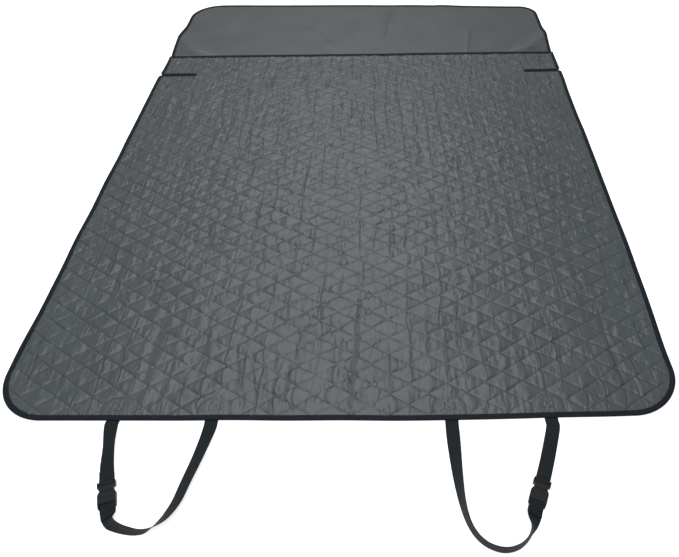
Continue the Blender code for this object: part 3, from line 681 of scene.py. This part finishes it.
def flap_depth(x, y):
    """How far in from the flap's bound edges a point lies."""
    return np.minimum(rounded(x - flap_low.x, flap_high.y - y, FLAP_LEFT_RADIUS),
                      rounded(flap_high.x - x, flap_high.y - y, FLAP_RIGHT_RADIUS))


x, y = np.meshgrid(np.arange(flap_low.x, flap_high.x + FLAP_SPACING, FLAP_SPACING),
                   np.arange(far_y - FLAP_TUCK, flap_high.y + FLAP_SPACING, FLAP_SPACING),
                   indexing="ij")
faces, used = grid_faces(corners(flap_depth(x, y) > FLAP_RIM).all(0))
points = lay_flap(np.stack([x[used], y[used], np.full(used.sum(), FLAP_LAYER)], 1))
flap_cloth, *_ = coated_polyester("plain_coated_polyester", "#4b5051", "#525758", 0.44)
flap = add_piece("bumper_flap_cloth", points, faces, flap_cloth, "flap_cloth", ["bumper_flap"])
flap_tape, flap_row = tape_piece("flap_edge_tape", flap_rail(), 0, FLAP_EDGE_HEIGHT,
                                 lay_flap, ["flap_binding"])
flap_stitches = stitch_piece("flap_edge_stitches", [flap_row], tape_thread, "binding_tape")

# STRAP-END PATCHES
# A D-shaped patch of the panel's own cloth over each strap end, its edge turned under and
# stitched down in an arch. A crossed box of stitches goes through to the webbing below.

PATCH_COLUMNS, PATCH_ROWS = 40, 34
# Height of a patch, its lap under the tape, its pucker, and how far the tape presses it down
PATCH_TOP, PATCH_TUCK, PATCH_PUCKER, UNDER_TAPE = 4.1 * MM, 2 * MM, 0.35 * MM, 1.3 * MM
# Half widths of the grooves that the stitches pull are called reach
ARCH_INSET, ARCH_REACH = 3.5 * MM, 0.8 * MM
BOX_SIZE, BOX_PLACE = (20 * MM, 17 * MM), 0.46
BOX_REACH, CROSS_REACH = 1.2 * MM, 1.0 * MM
# The corners of the box in the order in which it is sewn, its diagonals last
BOX_TURNS = ((-1, -1), (1, -1), (1, 1), (-1, 1), (-1, -1), (1, 1), (1, -1), (-1, 1))
# How deep the stitches pull, and how much deeper the box does
GROOVE, BOX_PULL = 0.5 * MM, 1.6
patch_cloth, *_ = coated_polyester("patch_coated_polyester", "#464c4e", "#4d5355")
patch_thread = sewing_thread("dark_polyester_thread", "#0c0e10")


def patch_height(x, y, middle_x, middle_y):
    """Height of a patch: rounded at its edge, sunk along its stitches, puckered between."""
    depth = patch_depth(x, y)
    body = SEAT + (PATCH_TOP - SEAT) * np.sqrt(np.clip(depth / (3 * MM), 0, 1))
    arch = np.exp(-((depth - ARCH_INSET) / ARCH_REACH) ** 2)
    box_x, box_y = np.abs(x - middle_x) - BOX_SIZE[0] / 2, np.abs(y - middle_y) - BOX_SIZE[1] / 2
    box = np.exp(-(np.maximum(box_x, box_y) / BOX_REACH) ** 2)
    slope = BOX_SIZE[1] / BOX_SIZE[0]
    off = np.abs(np.abs(y - middle_y) - np.abs(x - middle_x) * slope) / math.hypot(1, slope)
    cross = np.exp(-(off / CROSS_REACH) ** 2) * (np.maximum(box_x, box_y) < 0)
    pucker = PATCH_PUCKER * soft_noise(x, y, 3.5 * MM, 6 * MM, 41) * smooth(1 * MM, 5 * MM, depth)
    under_tape = UNDER_TAPE * (1 - smooth(near_y + 10 * MM, near_y + 15 * MM, y))
    return body + pucker - GROOVE * np.maximum(arch, BOX_PULL * np.maximum(box, cross)) - under_tape


for end, ((x0, y0, _), (x1, y1, _)) in patch_boxes.items():
    middle_x, middle_y = (x0 + x1) / 2, y0 + BOX_PLACE * (y1 - y0)
    share = np.linspace(-1, 1, PATCH_COLUMNS + 1)
    straight = np.linspace(y0 - PATCH_TUCK, y1 - PATCH_CORNER_RADIUS, PATCH_ROWS // 2)
    curved = y1 - PATCH_CORNER_RADIUS * (1 - np.sin(np.linspace(0, math.pi / 2, PATCH_ROWS // 2)))
    y = np.concatenate([straight, curved[1:]])
    past = np.clip(y - y1 + PATCH_CORNER_RADIUS, 0, PATCH_CORNER_RADIUS)
    half = (x1 - x0) / 2 - PATCH_CORNER_RADIUS + np.sqrt(PATCH_CORNER_RADIUS ** 2 - past ** 2)
    x = middle_x + share[:, None] * half
    y = np.broadcast_to(y, x.shape)
    faces, used = grid_faces(np.ones(np.subtract(x.shape, 1), bool))
    x, y = x.ravel(), y.ravel()
    points = np.stack([x, y, patch_height(x, y, middle_x, middle_y)], 1)
    patch = add_piece(end + "_patch_cloth", settle(points), faces, patch_cloth, "quilted_cloth",
                      [end + "_patch"])
    radius, inset_half = PATCH_CORNER_RADIUS - ARCH_INSET, (x1 - x0) / 2 - ARCH_INSET
    turn = np.radians(np.linspace(0, 180, 41))
    arch = [(middle_x + inset_half, y0 + 1 * MM)]
    arch += [(middle_x + math.copysign(inset_half - radius, math.cos(t)) + radius * math.cos(t),
              y1 - PATCH_CORNER_RADIUS + radius * math.sin(t)) for t in turn]
    arch += [(middle_x - inset_half, y0 + 1 * MM)]
    box = [(middle_x + i * BOX_SIZE[0] / 2, middle_y + j * BOX_SIZE[1] / 2) for i, j in BOX_TURNS]
    rows = []
    for line in [arch, box]:
        line = np.array(line)
        run = travelled(line)
        at = np.arange(0, run[-1], 1.0 * MM)
        line = np.stack([np.interp(at, run, line[:, k]) for k in (0, 1)], 1)
        height = patch_height(line[:, 0], line[:, 1], middle_x, middle_y)
        rows.append(settle(np.column_stack([line, height + 0.15 * MM])))
    stitches = stitch_piece(end + "_patch_stitches", rows, patch_thread, "quilted_cloth", 0.5 * MM)

# WEBBING
# Polypropylene webbing 25 mm wide, woven in ribs across. Each end of a strap is sewn under
# the panel's near edge. The free ends fold round a buckle bar and are stitched back.

WEBBING_WIDTH, WEBBING_THICKNESS = 25 * MM, 1.4 * MM
FIT = 0.3 * MM
# Length sewn under the panel, length folded back, and where that has come down on the leg
WEBBING_LAP, WEBBING_TAIL, TAIL_DROP = 45 * MM, 25 * MM, 12 * MM
# The buckle's bars, how far apart they are, and how loosely the webbing turns round them
BAR_RADIUS, BAR_STATION, FOLD_SLACK = 1.5 * MM, 42.5 * MM, 1.0 * MM
WEBBING_STEPS = 10
# The box on the folded tail, as a share of the webbing's width
TAIL_BOX_WIDTH = 0.72
# Warp yarns across the webbing and weft yarns along it
YARN_PITCH = (1.25 * MM, 1.5 * MM)
layer_pitch = WEBBING_THICKNESS + FIT
bar_height = layer_pitch + BAR_RADIUS
wrap_radius = BAR_RADIUS + FIT + WEBBING_THICKNESS / 2
strap_x = {end: (low[0] + high[0]) / 2 for end, (low, high) in patch_boxes.items()}


def smooth_route(points):
    """A Catmull-Rom curve through the points, which may have any number of values each."""
    points = np.asarray(points, float)
    last = len(points) - 1
    route = []
    for k in range(last):
        p, q, r, s = (points[max(0, min(last, k + n))] for n in (-1, 0, 1, 2))
        for t in np.arange(WEBBING_STEPS) / WEBBING_STEPS:
            route.append(0.5 * (2 * q + (r - p) * t + (2 * p - 5 * q + 4 * r - s) * t * t
                                + (3 * q - p - 3 * r + s) * t ** 3))
    return np.array(route + [points[-1]])


def woven_webbing(name, face, paler):
    """Polypropylene webbing: thick yarns in plain weave, slightly waxy. The tops of the yarns are
    painted paler as painted highlights, and the sides of the weave darker as painted shade."""
    made, tree, shader = start_material(name, Roughness=0.6, Specular_IOR_Level=0.12)
    yarns = [calc(tree, "SINE", calc(tree, "MULTIPLY", read_map(tree)[k], math.pi / pitch))
             for k, pitch in enumerate(YARN_PITCH)]
    weave = calc(tree, "ABSOLUTE", calc(tree, "MULTIPLY", *yarns))
    # Painted highlights and painted shade: the yarn tops take the paler colour, the sides of the
    # weave the darker one
    tree.links.new(blend(tree, weave, linear(face), linear(paler)), shader.inputs["Base Color"])
    tree.links.new(bump(tree, weave, 0.8, 0.3 * MM), shader.inputs["Normal"])
    return made


def strap_piece(name, sewn_x, bar, away, route, turn, replaced):
    """One leg of a strap: its fold round a buckle bar, its route over the floor, and its end
    under the panel. A point of the route is its share of the way across to the sewn end, its
    distance out as a share of the bar's, and its roll in degrees."""
    bar_out = near_y - bar.y
    course = [(bar.x + away.x * TAIL_DROP * s, bar_out - away.y * TAIL_DROP * s, 0)
              for s in (0, 1 / 3, 2 / 3, 1)]
    course += [(bar.x + (sewn_x - bar.x) * over, bar_out * out, roll) for over, out, roll in route]
    end_roll = 180 * round(route[-1][2] / 180)
    course += [(sewn_x, out, end_roll)
               for out in (WEBBING_WIDTH / 2, 0, -WEBBING_LAP / 2, -WEBBING_LAP)]
    course = smooth_route(course)
    x, out, roll = course.T
    roll = np.radians(roll)
    flat = np.stack([x, near_y - out], 1)
    along = np.zeros((len(x), 3))
    along[:, :2] = np.gradient(flat, axis=0)
    along /= np.linalg.norm(along, axis=1)[:, None]
    side = np.stack([-along[:, 1], along[:, 0], 0 * x], 1) * turn
    across = side * np.cos(roll)[:, None] + np.array([0, 0, 1]) * np.sin(roll)[:, None]
    height = (np.abs(np.sin(roll)) * (WEBBING_WIDTH / 2 + FIT)
              + np.abs(np.cos(roll)) * WEBBING_THICKNESS / 2)
    main = np.column_stack([flat, height])
    up = np.cross(along, across) * turn

    swing = np.radians(np.linspace(-75, 90, 12))
    away = np.array(away)
    wrap = [np.array(bar) - away * (wrap_radius + FOLD_SLACK) * math.cos(t)
            + np.array([0, 0, bar_height + wrap_radius * math.sin(t)]) for t in swing]
    run = travelled(main)
    tail = (run > 0) & (run <= WEBBING_TAIL)
    ease = smooth(0, 1, run[tail] / TAIL_DROP)
    spare = (bar_height + wrap_radius - WEBBING_THICKNESS / 2 - layer_pitch) * (1 - ease)
    back = main[tail] + up[tail] * (layer_pitch + spare)[:, None]
    centre = np.concatenate([back[::-1], wrap[::-1], main])
    across = np.concatenate([across[tail][::-1], [across[0]] * len(wrap), across])

    along = np.gradient(centre, axis=0)
    along /= np.linalg.norm(along, axis=1)[:, None]
    across = across - along * (across * along).sum(1)[:, None]
    across /= np.linalg.norm(across, axis=1)[:, None]
    up = np.cross(along, across)
    # Cut across, the webbing is a flat strip with rounded edges
    share = np.array([-1, -0.97, -0.8, -0.4, 0, 0.4, 0.8, 0.97, 1])
    top = np.array([0.25, 0.8, 1, 1, 1, 1, 1, 0.8, 0.25])
    section = list(zip(share, top)) + list(zip(share[::-1], -top))
    rows = [centre + across * s * WEBBING_WIDTH / 2 + up * t * WEBBING_THICKNESS / 2
            for s, t in section]
    points, faces, uv = swept(rows, travelled(centre))
    uv[:, 0] = np.repeat([(s + 1) * WEBBING_WIDTH / 2 for s, t in section], len(centre))
    add_piece(name, points, faces, webbing_cloth, "webbing", replaced, uv)
    # The box of stitches that holds the folded tail
    reach = slice(3, len(back) - 3)
    edge = TAIL_BOX_WIDTH * WEBBING_WIDTH / 2
    lift = up[:len(back)] * (WEBBING_THICKNESS / 2 + THREAD_LIFT)
    sides = [centre[reach] + across[reach] * edge * s + lift[reach] for s in (-1, 1)]
    ends = [np.linspace(sides[0][k], sides[1][k], 20) for k in (0, -1)]
    diagonal = [np.linspace(sides[k][0], sides[1 - k][-1], 24) for k in (0, 1)]
    return sides + ends + diagonal


webbing_cloth = woven_webbing("polypropylene_webbing", "#14181b", "#293136")
# Each strap: its buckle's first bar as x and distance out, the buckle's turn in degrees, the
# patches over its short and its long leg, 1 or -1 for its side, and both routes
STRAPS = {
    "left": (
        (-0.3926, 0.123), 18.7, ("left_outer", "left_inner"), 1,
        [(0.385, 0.715, -10), (0.67, 0.407, -20)],
        [(0.085, 1.160, 35), (0.154, 1.212, 58), (0.271, 1.254, 72), (0.401, 1.278, 82),
         (0.513, 1.278, 97), (0.599, 1.244, 115), (0.683, 1.176, 132), (0.748, 1.091, 142),
         (0.815, 0.949, 149), (0.868, 0.735, 153), (0.933, 0.484, 158), (0.982, 0.233, 168)],
    ),
    "right": (
        (0.3525, 0.120), -22.3, ("right_outer", "right_inner"), -1,
        [(0.38, 0.692, 0), (0.73, 0.375, 0)],
        [(0.086, 1.193, 40), (0.124, 1.292, 75), (0.197, 1.387, 86), (0.317, 1.462, 88),
         (0.485, 1.493, 90), (0.659, 1.456, 92), (0.795, 1.368, 90), (0.894, 1.224, 84),
         (0.955, 1.004, 72), (0.985, 0.710, 53), (0.996, 0.439, 35), (1.000, 0.238, 18)],
    ),
}
tail_rows = []
for side, (first_bar, turned, ends, turn, short_route, long_route) in STRAPS.items():
    bar = Vector((first_bar[0], near_y - first_bar[1], 0))
    heading = Vector((math.sin(math.radians(turned)), -math.cos(math.radians(turned)), 0))
    tail_rows += strap_piece(side + "_short_strap", strap_x[ends[0]], bar, -heading,
                             short_route, turn, [side + "_short_webbing"])
    bar = bar + heading * BAR_STATION
    tail_rows += strap_piece(side + "_long_strap", strap_x[ends[1]], bar, heading,
                             long_route, turn, [side + "_long_webbing"])
stitch_piece("strap_tail_stitches", tail_rows, patch_thread, "webbing", 0.35 * MM)

# BUCKLES
# Side-release buckles injection-moulded in acetal, in two halves: a plug with two barbed
# arms and a socket with a window for each. The CAD solids have the shape, so they stay.


def moulded_acetal(name, face):
    """Moulded acetal: a fine spark-eroded grain with a low sheen, smoother where handled."""
    made, tree, shader = start_material(name, Base_Color=linear(face), Specular_IOR_Level=0.25)
    place = put(tree, "TexCoord").outputs["Object"]
    # Grain 0.4 mm across, drawn 0.8 mm so that it shows
    grain = noise(tree, place, 1250.0, 2.0)
    gloss = remap(tree, noise(tree, place, 90.0, 3.0), 0.3, 0.7, 0.40, 0.54)
    tree.links.new(gloss, shader.inputs["Roughness"])
    tree.links.new(bump(tree, grain, 0.25, 0.1 * MM), shader.inputs["Normal"])
    return made


buckle_plastic = moulded_acetal("moulded_acetal", "#14181c")
for side in ("left", "right"):
    for half in ("plug", "socket"):
        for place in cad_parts[side + "_buckle_" + half].material_slots:
            place.material = buckle_plastic

# FLOOR, LIGHT AND CAMERA
# A plain pale floor, one long soft strip lamp overhead along the liner, and an even sky. The
# camera stands above the strap end and looks down the liner, as for the photograph.

FLOOR_REACH, FLOOR_DROP, FLOOR_GLOW, SKY_STRENGTH = 6, 0.2 * MM, 0.7, 0.25
LAMP_SIZE, LAMP_WATTS, LAMP_PLACE = (2.0, 8.0), 114.0, (-0.25, 0.5, 2.6)
CAMERA_ASIDE, CAMERA_BACK, CAMERA_HEIGHT, CAMERA_TILT = 0.088, 0.603, 1.010, 46.35
SENSOR_WIDTH_MM = 36
IMAGE_WIDTH = 679
FOCAL_LENGTH_PX = 620
OPTICAL_CENTRE_PX = (388, 280)
IMAGE_CENTRE_PX = (339.5, 278.5)

floor_mesh = bpy.data.meshes.new("floor")
floor_corners = [(i * FLOOR_REACH, j * FLOOR_REACH, 0)
                 for i, j in ((-1, -1), (1, -1), (1, 1), (-1, 1))]
floor_mesh.from_pydata(floor_corners, [], [(0, 1, 2, 3)])
floor = bpy.data.objects.new("floor", floor_mesh)
floor.location.z = -FLOOR_DROP
bpy.context.collection.objects.link(floor)
paint, tree, shader = start_material("matt_floor_paint", Base_Color=linear("#e4e4e4"),
                                     Roughness=0.9)
# Its glow is seen, straight or in the cloth's gloss, but doesn't light the liner
ray = put(tree, "LightPath").outputs
seen = calc(tree, "MAXIMUM", ray["Is Camera Ray"], ray["Is Glossy Ray"])
seen = calc(tree, "MAXIMUM", seen, ray["Is Transmission Ray"])
level = calc(tree, "MULTIPLY", seen, FLOOR_GLOW)
glow = put(tree, "Emission", {"Color": linear("#ffffff"), "Strength": level})
both = put(tree, "AddShader", {0: shader.outputs[0], 1: glow.outputs[0]})
tree.links.new(both.outputs[0], tree.nodes["Material Output"].inputs["Surface"])
floor_mesh.materials.append(paint)

world = bpy.data.worlds.new("even_sky")
bpy.context.scene.world = world
world.use_nodes = True
sky = world.node_tree.nodes["Background"]
sky.inputs["Color"].default_value = linear("#ffffff")
sky.inputs["Strength"].default_value = SKY_STRENGTH

lamp = bpy.data.lights.new("ceiling_strip", "AREA")
lamp.shape, lamp.size, lamp.size_y, lamp.energy = "RECTANGLE", *LAMP_SIZE, LAMP_WATTS
lamp_object = bpy.data.objects.new("ceiling_strip", lamp)
lamp_object.location = LAMP_PLACE
bpy.context.collection.objects.link(lamp_object)

camera = bpy.data.cameras.new("photo_camera")
camera.sensor_width = SENSOR_WIDTH_MM
camera.lens = FOCAL_LENGTH_PX / IMAGE_WIDTH * camera.sensor_width
camera.shift_x = (IMAGE_CENTRE_PX[0] - OPTICAL_CENTRE_PX[0]) / IMAGE_WIDTH
camera.shift_y = (OPTICAL_CENTRE_PX[1] - IMAGE_CENTRE_PX[1]) / IMAGE_WIDTH
camera_object = bpy.data.objects.new("photo_camera", camera)
camera_object.location = (CAMERA_ASIDE, near_y - CAMERA_BACK, CAMERA_HEIGHT)
camera_object.rotation_euler = (math.radians(90 - CAMERA_TILT), 0, 0)
bpy.context.collection.objects.link(camera_object)
bpy.context.scene.camera = camera_object
bpy.context.scene.view_settings.view_transform = "Standard"
